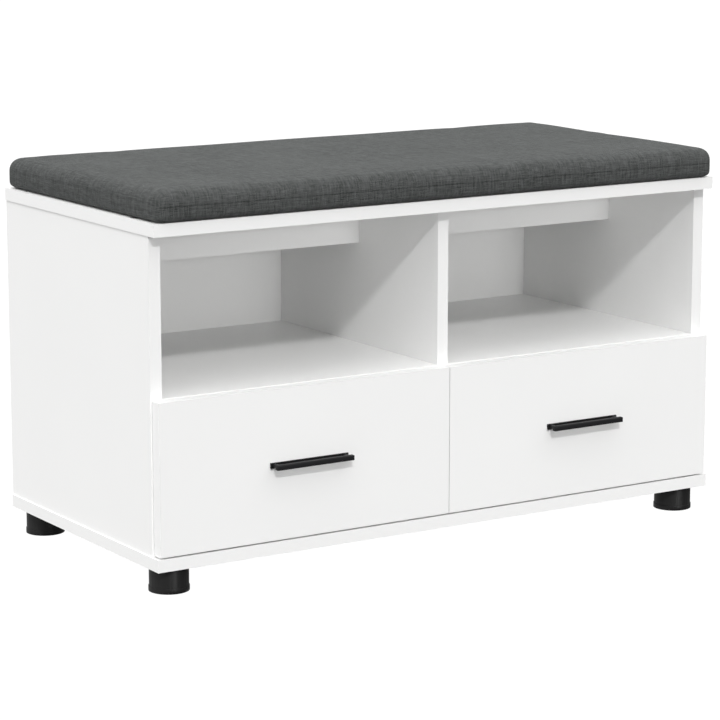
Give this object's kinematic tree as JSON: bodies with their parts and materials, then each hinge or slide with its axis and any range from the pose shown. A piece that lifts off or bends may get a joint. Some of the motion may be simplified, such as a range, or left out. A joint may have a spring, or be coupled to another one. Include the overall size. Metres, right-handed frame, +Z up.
{
  "type": "entryway bench",
  "caption": "Low white storage bench with open compartments above pull-out drawers with black bar handles, round black feet and a dark grey woven seat cushion.",
  "frame": {"origin": "on the floor under the middle of the bench's box, handles and back panel included", "axes": "+X to the right seen from the front, -Y towards the front, +Z up"},
  "size_m": [0.8, 0.4, 0.47],
  "materials": {
    "white_board": "satin",
    "white_hardboard": "satin",
    "beech": "matte",
    "zinc_steel": "satin",
    "zinc": "satin",
    "white_steel": "satin",
    "nylon": "satin",
    "black_metal": "matte",
    "black_plastic": "satin",
    "grey_fabric": "matte",
    "foam": "matte"
  },
  "bodies": {
    "cabinet": {"top_board": "white_board", "bottom_board": "white_board", "left_side_panel": "white_board", "right_side_panel": "white_board", "centre_divider": "white_board", "left_shelf": "white_board", "right_shelf": "white_board", "left_rail": "white_board", "right_rail": "white_board", "back_panel": "white_hardboard", "back_panel_nails": "zinc_steel", "carcass_screws": "zinc_steel", "dowels": "beech", "cam_bolts": "zinc_steel", "double_cam_bolts": "zinc_steel", "cam_locks": "zinc", "front_left_foot": "black_plastic", "front_right_foot": "black_plastic", "back_left_foot": "black_plastic", "back_right_foot": "black_plastic", "foot_screws": "zinc_steel", "left_bay_left_runner": "white_steel", "left_bay_right_runner": "white_steel", "right_bay_left_runner": "white_steel", "right_bay_right_runner": "white_steel", "cabinet_runner_screws": "zinc_steel"},
    "left_bay_rollers": {"left_bay_rollers": "nylon"},
    "right_bay_rollers": {"right_bay_rollers": "nylon"},
    "left_drawer": {"left_drawer_front": "white_board", "left_drawer_left_side": "white_board", "left_drawer_right_side": "white_board", "left_drawer_back": "white_board", "left_drawer_bottom": "white_hardboard", "left_drawer_cams": "zinc", "left_drawer_cam_bolts": "zinc_steel", "left_drawer_screws": "zinc_steel", "left_drawer_left_runner": "white_steel", "left_drawer_right_runner": "white_steel", "left_drawer_runner_screws": "zinc_steel", "left_handle_grip": "black_metal", "left_handle_plate": "black_metal", "left_handle_screws": "zinc_steel"},
    "left_drawer_rollers": {"left_drawer_rollers": "nylon"},
    "right_drawer": {"right_drawer_front": "white_board", "right_drawer_left_side": "white_board", "right_drawer_right_side": "white_board", "right_drawer_back": "white_board", "right_drawer_bottom": "white_hardboard", "right_drawer_cams": "zinc", "right_drawer_cam_bolts": "zinc_steel", "right_drawer_screws": "zinc_steel", "right_drawer_left_runner": "white_steel", "right_drawer_right_runner": "white_steel", "right_drawer_runner_screws": "zinc_steel", "right_handle_grip": "black_metal", "right_handle_plate": "black_metal", "right_handle_screws": "zinc_steel"},
    "right_drawer_rollers": {"right_drawer_rollers": "nylon"},
    "cushion": {"cushion_foam": "foam", "cushion_cover": "grey_fabric"}
  },
  "joints": [
    {"name": "left_drawer_slide", "type": "slide", "parent": "cabinet", "child": "left_drawer", "axis": [0, -1, 0], "range_m": [0, 0.26]},
    {"name": "right_drawer_slide", "type": "slide", "parent": "cabinet", "child": "right_drawer", "axis": [0, -1, 0], "range_m": [0, 0.26]},
    {"name": "left_bay_rollers_spin", "type": "hinge", "parent": "cabinet", "child": "left_bay_rollers", "pos_m": [-0.1955, -0.151, 0.0734], "axis": [1, 0, 0], "range_deg": [0, 1570]},
    {"name": "left_drawer_rollers_spin", "type": "hinge", "parent": "left_drawer", "child": "left_drawer_rollers", "pos_m": [-0.1955, 0.168, 0.071], "axis": [1, 0, 0], "range_deg": [0, 1570]},
    {"name": "right_bay_rollers_spin", "type": "hinge", "parent": "cabinet", "child": "right_bay_rollers", "pos_m": [0.1955, -0.151, 0.0734], "axis": [1, 0, 0], "range_deg": [0, 1570]},
    {"name": "right_drawer_rollers_spin", "type": "hinge", "parent": "right_drawer", "child": "right_drawer_rollers", "pos_m": [0.1955, 0.168, 0.071], "axis": [1, 0, 0], "range_deg": [0, 1570]},
    {"name": "cushion_lift", "type": "slide", "parent": "cabinet", "child": "cushion", "axis": [0, 0, 1], "range_m": [0, 0.12]}
  ],
  "couplings": [
    {"joint": "left_bay_rollers_spin", "follows": "left_drawer_slide", "rad_per_m": 105.26},
    {"joint": "left_drawer_rollers_spin", "follows": "left_drawer_slide", "rad_per_m": 105.26},
    {"joint": "right_bay_rollers_spin", "follows": "right_drawer_slide", "rad_per_m": 105.26},
    {"joint": "right_drawer_rollers_spin", "follows": "right_drawer_slide", "rad_per_m": 105.26}
  ]
}
